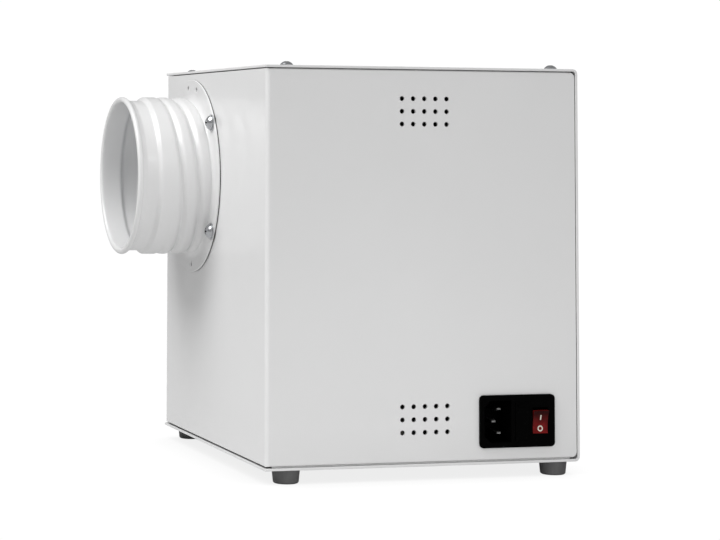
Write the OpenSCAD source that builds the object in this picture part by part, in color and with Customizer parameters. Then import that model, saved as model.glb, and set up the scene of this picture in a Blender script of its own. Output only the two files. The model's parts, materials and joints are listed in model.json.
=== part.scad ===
// Solder fume extractor: a sheet-metal suction unit with a hose collar, filters and a blower.
// Origin: centre of the whole unit's footprint on the bench. X right, front panel towards -Y, Z up.

/* [Casing] */
// Width of the sheet-metal box
box_w = 196; // [196:1:206]
// Depth of the sheet-metal box
box_d = 210; // [210:1:220]
// Height of the sheet-metal box without its feet
box_h = 232; // [232:1:242]
// Sheet thickness of the casing
sheet = 1.5; // [1.2:0.1:1.5]

/* [Feet] */
// Height of a rubber foot
foot_h = 8; // [8:0.5:10]
// Diameter of a foot where it meets the box
foot_d = 16.4; // [14:0.2:17]

/* [Vents] */
// Diameter of one vent hole
vent_d = 2.9; // [2:0.1:4]
// Vent hole pitch across
vent_px = 7; // [5:0.1:8]
// Vent hole pitch upwards
vent_pz = 7.45; // [5:0.05:8]

/* [Hose collar] */
// Diameter over the ribs that hold the hose, and over the rolled lip
rib_d = 99.2; // [98:0.1:99.2]
// Diameter of the screw circle in the flange
flange_pcd = 114; // [114:0.5:115]

/* [Mains module] */
// Angle the rocker swings between off and on
rocker_swing = 20; // [16:1:20]

/* [Blower] */
// Number of blades on the wheel
blades = 30; // [20:1:36]

/* [Hidden] */
$fn = 64;

// what stands out of the box on each side, and so the box's middle
reveal = 0.5;
collar_len = 49;
flange_d = 122;
collar_from_rear = 60.6;
mod_flange_t = 1.8;
rocker_face = 3;
rocker_rise = 1.3;
rocker_end = 6.8;
rocker_out = rocker_end * sin(rocker_swing / 2) + (rocker_face + rocker_rise) * cos(rocker_swing / 2);
front_reach = rocker_out - rocker_face + mod_flange_t - reveal;
rear_reach = flange_d / 2 - collar_from_rear;
mid_x = (collar_len - reveal) / 2;
mid_y = (front_reach - rear_reach) / 2;

// casing planes
x_left = mid_x - box_w / 2;
x_right = mid_x + box_w / 2;
y_front = mid_y - box_d / 2;
y_rear = mid_y + box_d / 2;
z_bot = foot_h;
z_top = foot_h + box_h;
gap = 0.4;
touch = 0.05;
join = 0.1;
fit = 0.1;
shaft_fit = 0.03;
cover_bend_r = 3;
shell_bend_r = 2.5;
shell_inner_r = 1.1;
hem_r = 1.2;
side_hem_r = 0.6;
low_gap = 0.8;
panel_corner_r = 3.5;
shell_x0 = x_left + reveal;
shell_x1 = x_right - sheet - gap;
shell_y0 = y_front + reveal;
shell_y1 = y_rear - reveal;
shell_z0 = z_bot + sheet + low_gap;
shell_z1 = z_top - sheet - gap;
flange_w = 14;
floor_z = z_bot + sheet + touch;
low_vents = 26.95;
high_vents = 26.2;
mod_hole_fit = 0.4;
flange_top_z = z_top - sheet - touch;

// fasteners
screw_d = 4;
clear_d = 4.3;
head_d = 7.4;
head_h = 2.4;
dome_r = 4.6;
recess_w = 1;
recess_l = 4.2;
recess_depth = 1.3;
nut_corner_d = 8.1;
nut_h = 3.2;
nut_bore_d = 4.1;
big_screw_d = 5;
big_clear_d = 5.3;
big_head_d = 9;
big_head_h = 3.4;
big_dome_r = 5;
big_nut_d = 9.2;
big_nut_h = 4;
washer_d = 10.4;
washer_t = 0.6;
corner_dx = 14.5;
corner_dy = 8.5;
corner_shift = 0.9;
cover_screw_l = 7.2;
collar_screw_l = 8.7;
scroll_screw_l = 8.6;
chassis_screw_l = 8.4;
earth_stud_l = 9;
motor_stud_l = 13.8;
foot_head_z = 4.1;

// hose collar
collar_y = y_rear - collar_from_rear;
collar_z = z_top - 66.7;
gasket_t = 0.5;
gasket_in = 1.5;
flange_t = 1;
skin = 1.4;
root_r = 47.1;
rib_r = rib_d / 2;
lip_r = (rib_r - root_r + skin) / 2 - touch;
rib_pitch = 10;
rib_first = 14;
land_w = 3;
rib_base_w = 8;
flare_r = 4.6;
screw_angles = [36, -36, 144, -144];
drain_angles = [77, 96, -87];
drain_r = 56;
drain_d = 3.2;
wall_hole_r = 46.5;

// mains module
mod_x = x_right - 40.4;
mod_z = z_bot + 24.75;
mod_w = 47.5;
mod_h = 30.5;
mod_body_w = 44.5;
mod_body_h = 27;
mod_body_d = 25;
mod_face_y = shell_y0 - mod_flange_t;
socket_x = mod_x - 12.6;
socket_w = 17;
socket_h = 24.5;
socket_depth = 17;
socket_cut = 4;
pin_w = 4;
pin_t = 2;
pin_gap = 7;
pin_offset = 2;
mod_corner_r = 2.5;
tab_start = 15;
tab_reach = 8;
tab_t = 0.8;
drawer_x = mod_x + 2.6;
drawer_w = 8;
drawer_h = 22;
drawer_depth = 20;
drawer_fit = 0.3;
rocker_x = mod_x + 14.4;
rocker_w = 9.4;
rocker_dish_r = (pow(rocker_end, 2) + pow(rocker_rise, 2)) / (2 * rocker_rise);
rocker_axis_y = mod_face_y + rocker_face;
stub_d = 2.4;
stub_len = 1.5;
stub_fit = 0.12;
rocker_waist = 6.3;
rocker_foot = 5;
rocker_deep = 4;
rocker_fit = 0.6;
tab_y = shell_y0 + mod_body_d;
lead_y0 = tab_y + tab_reach + touch;

// filters
tub_x0 = x_left + 5;
tub_x1 = x_left + 78;
tub_y0 = y_rear - 135;
tub_y1 = y_rear - 4;
tub_z0 = z_top - 137;
tub_z1 = z_top - 7.5;
tub_t = 2;
cell_gap = 0.5;
cell_y0 = tub_y0 + tub_t + cell_gap;
cell_y1 = tub_y1 - tub_t - cell_gap;
cell_z0 = tub_z0 + tub_t + cell_gap;
cell_z1 = tub_z1 - tub_t - cell_gap;
carbon_x0 = tub_x1 - tub_t - 16;
carbon_x1 = tub_x1 - tub_t - fit;
grid_t = 1.5;
hepa_x0 = carbon_x0 - 32;
pre_x0 = hepa_x0 - 10;
frame_t = 4;
pleats = 19;

// blower, its centre line parallel to X
fan_x = x_left + 82;
fan_y = y_rear - 85;
fan_z = z_top - 90;
fan_len = 60;
scroll_t = 2.5;
wheel_r = 48;
scroll_r = 56;
scroll_step = 9;
eye_r = 38.5;
ring_r = 46;
ring_bore_r = 35;
ring_t = 1.5;
plate_x = fan_x + fan_len + 0.1;
motor_x = plate_x + sheet + 5;
motor_r = 36;
motor_len = 39.4;
motor_wall = 2.5;
core_x = motor_x + 12;
core_l = 16;
air_gap = 0.5;
rotor_r = 20;
shaft_r = 4;
bearing_r = 11;
bearing_w = 7;
ear_r = 42;
ear_angles = [90, 210, 330];
outlet_y = y_rear - 4.1;
outlet_top = -40;
back_w = 142;
back_h = 152;
back_mid = [-5, -9];
back_fixes = [[-69, 60], [59, 60], [-69, -78], [59, -28]];

// wiring
block_x0 = mod_x - 87.6;
block_y0 = y_front + 29;
block_l = 40;
block_w = 18;
block_h = 21;
body_x0 = 10;
body_x1 = 30;
lead_d = 3;
cable_d = 5;
bend_r = 6;
cap_x0 = x_left + 8;
cap_len = 54;
cap_y = y_front + 45;
cap_r = 16;
cap_z = floor_z + cap_r + 2.5;
stud_x = mod_x - 30;
stud_y = y_front + 47;

// ---------- helpers ----------

module along_x(x0, len) {
  translate([x0, 0, 0]) rotate([90, 0, 90]) linear_extrude(height = len) children();
}

module along_y(y1, len) {
  translate([0, y1, 0]) rotate([90, 0, 0]) linear_extrude(height = len) children();
}

module round_rect(w, h, r) {
  square([w - 2 * r, h], center = true);
  square([w, h - 2 * r], center = true);
  for (sx = [-1, 1], sy = [-1, 1])
    translate([sx * (w / 2 - r), sy * (h / 2 - r)]) circle(r = r);
}

module right_rounded(x0, x1, y0, y1, r) {
  translate([x0, y0]) square([x1 - r - x0, y1 - y0]);
  translate([x0, y0 + r]) square([x1 - x0, y1 - y0 - 2 * r]);
  for (y = [y0 + r, y1 - r])
    translate([x1 - r, y]) circle(r = r);
}

module left_rounded(x0, x1, y0, y1, r) {
  mirror([1, 0]) right_rounded(-x1, -x0, y0, y1, r);
}

module block(x0, x1, y0, y1, z0, z1) {
  translate([x0, y0, z0]) cube([x1 - x0, y1 - y0, z1 - z0]);
}

module pan_screw(len, d = screw_d, head = head_d, tall = head_h, dome = dome_r) {
  difference() {
    intersection() {
      cylinder(d = head, h = tall);
      translate([0, 0, tall - dome]) sphere(r = dome);
    }
    for (a = [0, 90])
      rotate([0, 0, a]) translate([-recess_l / 2, -recess_w / 2, tall - recess_depth])
        cube([recess_l, recess_w, recess_depth + 1]);
  }
  translate([0, 0, -len]) cylinder(d = d, h = len + join);
}

module hex_nut(d = nut_corner_d, h = nut_h, bore = nut_bore_d) {
  difference() {
    cylinder(d = d, h = h, $fn = 6);
    translate([0, 0, -1]) cylinder(d = bore, h = h + 2);
  }
}

module at_corners(z) {
  for (sx = [-1, 1], sy = [-1, 1])
    translate([mid_x + corner_shift + sx * (box_w / 2 - corner_dx),
               mid_y + sy * (box_d / 2 - corner_dy), z])
      children();
}

module at_collar(r, a, x) {
  translate([x, collar_y - r * cos(a), collar_z + r * sin(a)]) rotate([0, -90, 0]) children();
}

module at_chassis(z) {
  for (y = [fan_y - 60, fan_y - 9, fan_y + 42])
    translate([plate_x + 9, y, z]) children();
  for (y = [fan_y - 30, fan_y + 60])
    translate([fan_x - 11, y, z]) children();
  for (y = [cap_y - cap_r - 6, cap_y + cap_r + 6])
    translate([cap_x0 + cap_len / 2, y, z]) children();
  for (x = [block_x0 + 4.5, block_x0 + block_l - 4.5])
    translate([x, block_y0 + block_w / 2, z]) children();
}

module at_back_fixes(x) {
  for (p = back_fixes)
    translate([x, fan_y + p[0], fan_z + p[1]]) rotate([0, -90, 0]) children();
}

module at_ears(x) {
  for (a = ear_angles)
    translate([x, fan_y + ear_r * cos(a), fan_z + ear_r * sin(a)]) rotate([0, 90, 0]) children();
}

module elbow(r, d) {
  rotate_extrude(angle = 90) translate([r, 0]) circle(d = d);
}

module bar_x(x0, x1, y, z, d) {
  translate([x0, y, z]) rotate([0, 90, 0]) cylinder(d = d, h = x1 - x0);
}

module bar_y(x, y0, y1, z, d) {
  translate([x, y1, z]) rotate([90, 0, 0]) cylinder(d = d, h = y1 - y0);
}

module bar_z(x, y, z0, z1, d) {
  translate([x, y, z0]) cylinder(d = d, h = z1 - z0);
}

// ---------- casing ----------

module vent_grid(z) {
  for (i = [-2:2], j = [-1:1])
    translate([mid_x + i * vent_px, shell_y0 - 1, z + j * vent_pz]) rotate([-90, 0, 0])
      cylinder(d = vent_d, h = sheet + 2);
}

module exhaust_slots() {
  slot_w = 3.4;
  slot_l = 30;
  slot_pitch = 6;
  slot_z = fan_z - 59.5;
  for (i = [0:7])
    translate([fan_x + 9 + i * slot_pitch, shell_y1 + 1, slot_z]) rotate([90, 0, 0])
      linear_extrude(height = sheet + 2) {
        square([slot_w, slot_l], center = true);
        for (s = [-1, 1])
          translate([0, s * slot_l / 2]) circle(d = slot_w);
      }
}

module front_left_shell() {
  color("whitesmoke") difference() {
    union() {
      intersection() {
        translate([0, 0, shell_z0]) linear_extrude(height = shell_z1 - shell_z0)
          difference() {
            left_rounded(shell_x0, shell_x1, shell_y0, shell_y1, shell_bend_r);
            left_rounded(shell_x0 + sheet, shell_x1 + 1, shell_y0 + sheet, shell_y1 - sheet,
                         shell_inner_r);
          }
        along_y(shell_y1 + 1, shell_y1 - shell_y0 + 2) {
          left_rounded(shell_x0, mid_x, shell_z0, shell_z1, side_hem_r);
          right_rounded(mid_x - 1, shell_x1, shell_z0, shell_z1, panel_corner_r);
        }
        along_x(shell_x0 - 1, shell_x1 - shell_x0 + 2)
          translate([(shell_y0 + shell_y1) / 2, (shell_z0 + shell_z1) / 2])
            round_rect(shell_y1 - shell_y0, shell_z1 - shell_z0, hem_r);
      }
      for (z = [floor_z, flange_top_z - sheet]) {
        block(shell_x0 + 4, shell_x1 - 4, shell_y0 + hem_r, shell_y0 + sheet + flange_w, z, z + sheet);
        block(shell_x0 + 4, shell_x1 - 4, shell_y1 - sheet - flange_w, shell_y1 - hem_r, z, z + sheet);
      }
    }
    for (z = [z_bot + low_vents, z_top - high_vents])
      vent_grid(z);
    exhaust_slots();
    along_y(shell_y0 + sheet + 1, sheet + 2)
      translate([mod_x, mod_z]) square([mod_body_w + mod_hole_fit, mod_body_h + mod_hole_fit], center = true);
    translate([shell_x0 - 1, collar_y, collar_z]) rotate([0, 90, 0])
      cylinder(r = wall_hole_r, h = sheet + 2);
    for (a = screw_angles)
      at_collar(flange_pcd / 2, a, shell_x0 + sheet + 1) cylinder(d = big_clear_d, h = sheet + 2);
    at_corners(floor_z - 1) cylinder(d = clear_d, h = sheet + 2);
    at_corners(flange_top_z - sheet - 1) cylinder(d = clear_d, h = sheet + 2);
  }
}

module outer_cover() {
  color("white") difference() {
    along_y(y_rear, box_d) difference() {
      right_rounded(x_left, x_right, z_bot, z_top, cover_bend_r);
      right_rounded(x_left - 1, x_right - sheet, z_bot + sheet, z_top - sheet, cover_bend_r - sheet);
    }
    at_corners(z_bot - 1) cylinder(d = clear_d, h = sheet + 2);
    at_corners(z_top - sheet - 1) cylinder(d = clear_d, h = sheet + 2);
    at_chassis(z_bot - 1) cylinder(d = clear_d, h = sheet + 2);
    translate([stud_x, stud_y, z_bot - 1]) cylinder(d = clear_d, h = sheet + 2);
  }
}

module cover_screws() {
  color("silver") at_corners(z_top + touch) pan_screw(cover_screw_l);
}

module cover_nuts() {
  color("silver") at_corners(flange_top_z - sheet - nut_h - touch) hex_nut();
}

module feet() {
  edge_r = 1.3;
  foot_r = foot_d / 2;
  taper = 0.7;
  base_r = foot_r - taper;
  head_room_r = 4.6;
  head_room_h = 4.2;
  color("dimgray") at_corners(0) difference() {
    rotate_extrude() {
      translate([0, 0]) square([base_r - edge_r, edge_r * 2]);
      translate([base_r - edge_r, edge_r]) circle(r = edge_r);
      polygon([[0, edge_r], [base_r, edge_r], [foot_r, foot_h - touch], [0, foot_h - touch]]);
    }
    translate([0, 0, -1]) cylinder(r = head_room_r, h = head_room_h + 1);
    cylinder(d = clear_d, h = foot_h + 1);
  }
}

module foot_screws() {
  len = z_bot + 2 * sheet + nut_h - 2;
  color("silver") at_corners(foot_head_z) rotate([180, 0, 0]) pan_screw(len);
}

module foot_nuts() {
  color("silver") at_corners(floor_z + sheet + touch) hex_nut();
}

// ---------- hose collar ----------

module collar_rib(s) {
  polygon([[0, s - rib_base_w / 2], [root_r, s - rib_base_w / 2],
           [rib_r, s - land_w / 2], [rib_r, s + land_w / 2],
           [root_r, s + rib_base_w / 2], [0, s + rib_base_w / 2]]);
}

module collar_contour(end) {
  square([root_r, end]);
  for (i = [0:2])
    collar_rib(rib_first + i * rib_pitch);
}

module duct_collar() {
  flange_s = gasket_t + touch;
  flare_s = gasket_t + flange_t;
  lip_s = collar_len - lip_r;
  color("white") difference() {
    translate([shell_x0, collar_y, collar_z]) rotate([0, -90, 0]) rotate_extrude() {
      difference() {
        union() {
          collar_contour(lip_s);
          translate([0, flange_s]) square([flange_d / 2, flange_t - touch]);
          difference() {
            translate([root_r - 1, flare_s]) square([flare_r + 1, flare_r]);
            translate([root_r + flare_r, flare_s + flare_r]) circle(r = flare_r);
          }
        }
        translate([-skin, 0]) collar_contour(collar_len + 1);
        translate([-1, -1]) square([flange_d, flange_s + 1]);
        translate([-1, -1]) square([root_r - skin + 1, collar_len + 3]);
      }
      translate([rib_r - lip_r, lip_s]) circle(r = lip_r);
    }
    for (a = screw_angles)
      at_collar(flange_pcd / 2, a, shell_x0 + 1) cylinder(d = big_clear_d, h = flare_s + 2);
    for (a = drain_angles)
      at_collar(drain_r, a, shell_x0 + 1) cylinder(d = drain_d, h = flare_s + 2);
  }
}

module collar_gasket() {
  color("#303030") difference() {
    translate([shell_x0 - touch, collar_y, collar_z]) rotate([0, -90, 0])
      cylinder(r = flange_d / 2 - gasket_in, h = gasket_t - touch);
    translate([shell_x0 + 1, collar_y, collar_z]) rotate([0, -90, 0])
      cylinder(r = wall_hole_r, h = gasket_t + 3);
    for (a = screw_angles)
      at_collar(flange_pcd / 2, a, shell_x0 + 1) cylinder(d = big_clear_d, h = gasket_t + 3);
  }
}

module collar_screws() {
  head_x = shell_x0 - gasket_t - flange_t - washer_t - 2 * touch;
  color("silver") for (a = screw_angles)
    at_collar(flange_pcd / 2, a, head_x)
      pan_screw(collar_screw_l, big_screw_d, big_head_d, big_head_h, big_dome_r);
}

module collar_washers() {
  color("gainsboro") for (a = screw_angles)
    at_collar(flange_pcd / 2, a, shell_x0 - gasket_t - flange_t - touch) difference() {
      cylinder(d = washer_d, h = washer_t);
      translate([0, 0, -1]) cylinder(d = big_clear_d, h = washer_t + 2);
    }
}

module collar_nuts() {
  color("silver") for (a = screw_angles)
    at_collar(flange_pcd / 2, a, shell_x0 + sheet + touch + big_nut_h)
      hex_nut(big_nut_d, big_nut_h, big_screw_d + fit);
}

// ---------- mains module ----------

// the earth pin sits on the other side of the socket's middle
function pin_x(s) = socket_x + (s == 0 ? -pin_offset : pin_offset);

module socket_outline() {
  hw = socket_w / 2;
  hh = socket_h / 2;
  polygon([[hw, -hh], [hw, hh], [-hw + socket_cut, hh], [-hw, hh - socket_cut],
           [-hw, -hh + socket_cut], [-hw + socket_cut, -hh]]);
}

module inlet_housing() {
  clip_h = 1.2;
  clip_w = 14;
  clip_y = shell_y0 + sheet + fit;
  clip_end_y = shell_y0 + sheet + 7;
  sunk = -0.5;
  slot_t = 0.9;
  color("#141414") difference() {
    union() {
      along_y(shell_y0 - touch, mod_flange_t - touch)
        translate([mod_x, mod_z]) round_rect(mod_w, mod_h, mod_corner_r);
      along_y(shell_y0 + mod_body_d, mod_body_d + touch + join)
        translate([mod_x, mod_z]) square([mod_body_w, mod_body_h], center = true);
      for (s = [-1, 1])
        translate([mod_x, 0, mod_z + s * mod_body_h / 2]) mirror([0, 0, s < 0 ? 1 : 0])
          along_x(-clip_w / 2, clip_w)
            polygon([[clip_y, sunk], [clip_y, clip_h], [clip_end_y, 0], [clip_end_y, sunk]]);
    }
    translate([socket_x, mod_face_y - 1, mod_z]) rotate([-90, 0, 0])
      linear_extrude(height = socket_depth + 1) mirror([0, 1]) socket_outline();
    for (s = [-1, 0, 1])
      translate([pin_x(s), mod_face_y, mod_z + s * pin_gap]) rotate([-90, 0, 0])
        translate([0, 0, 5]) linear_extrude(height = mod_body_d)
          square([pin_w + fit, pin_t + fit], center = true);
    along_y(mod_face_y + drawer_depth + drawer_fit, drawer_depth + 2)
      translate([drawer_x, mod_z]) square([drawer_w + drawer_fit, drawer_h + drawer_fit], center = true);
    along_y(mod_face_y + 14, 15)
      translate([rocker_x, mod_z])
        square([rocker_w + rocker_fit, 2 * rocker_end + 3 * rocker_fit], center = true);
    translate([rocker_x, rocker_axis_y, mod_z]) rotate([0, 90, 0])
      cylinder(d = stub_d + stub_fit, h = rocker_w + 2 * stub_len + 0.4, center = true);
    for (s = [-1, 1])
      translate([rocker_x, mod_face_y + 12, mod_z + s * pin_gap]) rotate([-90, 0, 0])
        linear_extrude(height = mod_body_d) square([pin_w + fit, slot_t], center = true);
  }
}

module pin_outline(w, len, tip) {
  polygon([[-w / 2 + tip, 0], [w / 2 - tip, 0], [w / 2, 2 * tip], [w / 2, len],
           [-w / 2, len], [-w / 2, 2 * tip]]);
}

module inlet_pins() {
  tip_w = 0.9;
  tip_t = 0.5;
  color("gainsboro") for (s = [-1, 0, 1]) {
    sink = s == 0 ? 1.5 : 3;
    len = tab_y - mod_face_y + tab_reach - sink;
    translate([pin_x(s), mod_face_y + sink, mod_z + s * pin_gap])
      intersection() {
        linear_extrude(height = pin_t, center = true) pin_outline(pin_w, len, tip_w);
        rotate([0, 90, 0]) linear_extrude(height = pin_w, center = true)
          pin_outline(pin_t, len, tip_t);
      }
  }
}

module switch_tabs() {
  color("gainsboro") for (s = [-1, 1])
    translate([rocker_x, mod_face_y + tab_start, mod_z + s * pin_gap]) rotate([-90, 0, 0])
      linear_extrude(height = tab_y + tab_reach - mod_face_y - tab_start)
        square([pin_w, tab_t], center = true);
}

module rocker_profile() {
  difference() {
    polygon([[-rocker_end, rocker_face + rocker_rise], [rocker_end, rocker_face + rocker_rise],
             [rocker_waist, 0], [rocker_foot, -rocker_deep],
             [-rocker_foot, -rocker_deep], [-rocker_waist, 0]]);
    translate([0, rocker_face + rocker_dish_r]) circle(r = rocker_dish_r);
  }
}

// The rocker turns about X. Its local frame: x across, y up the panel, z out of the panel.
module rocker() {
  mark_depth = 0.25;
  mark_z = rocker_face + 0.1;
  bar_w = 0.8;
  bar_from = 0.9;
  bar_len = 3.1;
  ring_at = -4.1;
  ring_d = 3.4;
  ring_hole_d = 2;
  color("firebrick") translate([rocker_x, rocker_axis_y, mod_z]) rotate([rocker_swing / 2, 0, 0])
    difference() {
      union() {
        rotate([0, 90, 0]) cylinder(d = stub_d, h = rocker_w + 2 * stub_len, center = true);
        translate([-rocker_w / 2, 0, 0]) rotate(a = 180, v = [1, 0, 1])
          linear_extrude(height = rocker_w) rocker_profile();
      }
      translate([-bar_w / 2, -mark_z - 3, bar_from]) cube([bar_w, 3 + mark_depth, bar_len]);
      translate([0, -mark_z + mark_depth, ring_at]) rotate([90, 0, 0]) difference() {
        cylinder(d = ring_d, h = 4);
        translate([0, 0, -1]) cylinder(d = ring_hole_d, h = 6);
      }
    }
}

module fuse_drawer() {
  face_t = 1.5;
  proud = 0.4;
  grip_w = 5;
  grip_h = 1.2;
  room_half = 10.1;
  color("#181818") difference() {
    union() {
      along_y(mod_face_y + drawer_depth, drawer_depth + proud)
        translate([drawer_x, mod_z]) square([drawer_w, drawer_h], center = true);
      along_y(mod_face_y - proud, 0.6)
        translate([drawer_x, mod_z + drawer_h / 2 - 2]) square([grip_w, grip_h], center = true);
    }
    block(drawer_x - drawer_w / 2 - 1, drawer_x + drawer_w / 2 - 1.2, mod_face_y + face_t + 1.5,
          mod_face_y + drawer_depth - 2, mod_z - room_half, mod_z + room_half);
  }
}

module fuse_link() {
  fuse_r = 2.6;
  fuse_l = 20;
  end_l = 5;
  fuse_x = drawer_x - 0.8;
  fuse_y = mod_face_y + 10;
  color("silver") translate([fuse_x, fuse_y, mod_z - fuse_l / 2]) {
    cylinder(r = fuse_r, h = end_l);
    translate([0, 0, fuse_l - end_l]) cylinder(r = fuse_r, h = end_l);
    translate([0, 0, end_l - join]) cylinder(r = fuse_r - 0.2, h = fuse_l - 2 * end_l + 2 * join);
  }
}

// ---------- blower ----------

module quadrant(c, r, sx, sy) {
  intersection() {
    translate(c) circle(r = r);
    translate([c[0] + (sx < 0 ? -r - 1 : 0), c[1] + (sy < 0 ? -r - 1 : 0)]) square(r + 1);
  }
}

module scroll_area(grow, out) {
  h = scroll_step / 2;
  bottom = -h - scroll_r - 2 * scroll_step - grow;
  quadrant([-h, h], scroll_r + grow, 1, 1);
  quadrant([-h, -h], scroll_r + scroll_step + grow, -1, 1);
  quadrant([h, -h], scroll_r + 2 * scroll_step + grow, -1, -1);
  translate([-h, outlet_top]) square([scroll_r + grow, h - outlet_top]);
  translate([h, bottom]) square([out - h, outlet_top + grow - bottom]);
}

module fan_scroll() {
  out = outlet_y - fan_y;
  color("#3a3d42") translate([0, fan_y, fan_z]) difference() {
    union() {
      along_x(fan_x, fan_len) scroll_area(scroll_t, out);
      along_x(fan_x + fan_len - scroll_t, scroll_t)
        translate(back_mid) round_rect(back_w, back_h, 6);
    }
    along_x(fan_x + scroll_t, fan_len - 2 * scroll_t) scroll_area(0, out + 1);
    along_x(fan_x - 1, scroll_t + 2) circle(r = 37);
    along_x(fan_x + fan_len - scroll_t - 1, scroll_t + 2) circle(r = 13);
    for (p = back_fixes)
      along_x(fan_x + fan_len - scroll_t - 1, scroll_t + 2) translate(p) circle(d = clear_d);
  }
}

module scroll_screws() {
  color("silver") at_back_fixes(fan_x + fan_len - scroll_t - touch) pan_screw(scroll_screw_l);
}

module scroll_nuts() {
  color("silver") at_back_fixes(plate_x + sheet + touch + nut_h) hex_nut();
}

module inlet_ring() {
  collar_t = 1.4;
  color("#4a4d52") translate([0, fan_y, fan_z]) {
    along_x(fan_x - touch - ring_t, ring_t) difference() {
      circle(r = ring_r);
      circle(r = ring_bore_r);
    }
    along_x(fan_x - join, 7) difference() {
      circle(r = ring_bore_r + collar_t);
      circle(r = ring_bore_r);
    }
  }
}

module impeller() {
  shroud_x = fan_x + 5;
  back_x = fan_x + 49;
  blade_r = 9;
  blade_t = 0.9;
  hub_r = 11;
  hub_l = 13;
  shroud_t = 1.5;
  back_t = 2;
  bore_r = shaft_r + shaft_fit;
  color("#26282b") translate([0, fan_y, fan_z]) {
    along_x(shroud_x, shroud_t) difference() {
      circle(r = wheel_r);
      circle(r = eye_r);
    }
    along_x(back_x, back_t) difference() {
      circle(r = wheel_r);
      circle(r = bore_r);
    }
    along_x(back_x - hub_l, hub_l + 0.5) difference() {
      circle(r = hub_r);
      circle(r = bore_r);
    }
    along_x(shroud_x + 1, back_x - shroud_x - 0.5)
      for (i = [0:blades - 1])
        rotate(i * 360 / blades) intersection() {
          difference() {
            circle(r = wheel_r - 0.5);
            circle(r = eye_r + 0.5);
          }
          translate([(wheel_r + eye_r) / 2, -blade_r + 1]) difference() {
            circle(r = blade_r);
            circle(r = blade_r - blade_t);
          }
          translate([eye_r - 1, -3]) square([wheel_r - eye_r + 2, 6]);
        }
  }
}

module motor_can() {
  boss_r = 14;
  bearing_room = bearing_r + shaft_fit;
  color("#8d9195") difference() {
    union() {
      translate([0, fan_y, fan_z]) {
        along_x(motor_x + touch, motor_len) difference() {
          circle(r = motor_r);
          circle(r = motor_r - motor_wall);
        }
        for (x = [motor_x + touch, motor_x + touch + motor_len - motor_wall])
          along_x(x, motor_wall) difference() {
            circle(r = motor_r);
            circle(r = shaft_r + 1);
          }
        along_x(motor_x + motor_wall, bearing_w + 2 * fit) difference() {
          circle(r = boss_r);
          circle(r = bearing_room);
        }
        along_x(motor_x + touch + motor_len - motor_wall - bearing_w - fit, bearing_w + 2 * fit)
          difference() {
            circle(r = boss_r);
            circle(r = bearing_room);
          }
      }
      for (a = ear_angles)
        translate([0, fan_y, fan_z]) along_x(motor_x + touch, motor_wall) rotate(a)
          difference() {
            union() {
              translate([motor_r - 1, -6]) square([ear_r - motor_r + 1, 12]);
              translate([ear_r, 0]) circle(r = 6);
            }
            circle(r = motor_r - 0.5);
          }
    }
    at_ears(motor_x - 1) cylinder(d = clear_d, h = motor_wall + 2);
  }
}

module stator_core() {
  slots = 12;
  slot_w = 3;
  slot_deep = 6;
  slot_r = 22;
  color("#6b6e70") translate([0, fan_y, fan_z]) along_x(core_x, core_l) difference() {
    circle(r = motor_r - motor_wall - 0.04);
    circle(r = rotor_r + air_gap);
    for (i = [0:slots - 1])
      rotate(i * 360 / slots) translate([slot_r, -slot_w / 2]) square([slot_deep, slot_w]);
  }
}

module motor_windings() {
  coil_r = 2.2;
  inner_r = 24;
  coil_w = 5;
  color("#b5651d") translate([0, fan_y, fan_z])
    for (x = [core_x - 0.1 - 2 * coil_r, core_x + core_l + 0.1])
      translate([x, 0, 0]) rotate([0, 90, 0]) rotate_extrude() {
        translate([inner_r, 0]) square([coil_w, 2 * coil_r]);
        for (r = [inner_r, inner_r + coil_w])
          translate([r, coil_r]) circle(r = coil_r);
      }
}

module rotor_core() {
  color("#9a9da0") translate([0, fan_y, fan_z]) along_x(core_x, core_l) difference() {
    circle(r = rotor_r);
    circle(r = shaft_r + shaft_fit);
  }
}

module motor_shaft() {
  color("lightgray")
    bar_x(fan_x + 34, motor_x + motor_len - motor_wall - 0.5, fan_y, fan_z, 2 * shaft_r);
}

module motor_bearings() {
  color("gainsboro") translate([0, fan_y, fan_z])
    for (x = [motor_x + motor_wall + fit, motor_x + motor_len - motor_wall - bearing_w])
      along_x(x, bearing_w - fit) difference() {
        circle(r = bearing_r);
        circle(r = shaft_r + 0.05);
      }
}

module motor_studs() {
  color("silver") at_ears(plate_x) cylinder(d = screw_d, h = motor_stud_l);
}

module motor_bushings() {
  color("#1f1f1f") at_ears(plate_x + sheet + touch) difference() {
    cylinder(r = 6, h = 5 - touch);
    translate([0, 0, -1]) cylinder(d = clear_d, h = 7);
  }
}

module motor_nuts() {
  color("silver") at_ears(motor_x + motor_wall + 2 * touch) hex_nut();
}

module inner_chassis() {
  color("#b9bcc0") difference() {
    union() {
      translate([0, fan_y, 0]) along_x(plate_x, sheet)
        translate([back_mid[0] - back_w / 2, floor_z])
          square([back_w, fan_z + back_mid[1] + back_h / 2 - floor_z]);
      block(plate_x, plate_x + 18, fan_y - 70, fan_y + 60, floor_z, floor_z + sheet);
    }
    translate([plate_x - 1, fan_y, fan_z]) rotate([0, 90, 0]) cylinder(r = 17, h = sheet + 2);
    at_ears(plate_x - 1) cylinder(d = nut_bore_d, h = sheet + 2);
    at_back_fixes(plate_x + sheet + 1) cylinder(d = clear_d, h = sheet + 2);
    at_chassis(floor_z - 1) cylinder(d = clear_d, h = sheet + 2);
  }
}

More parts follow.
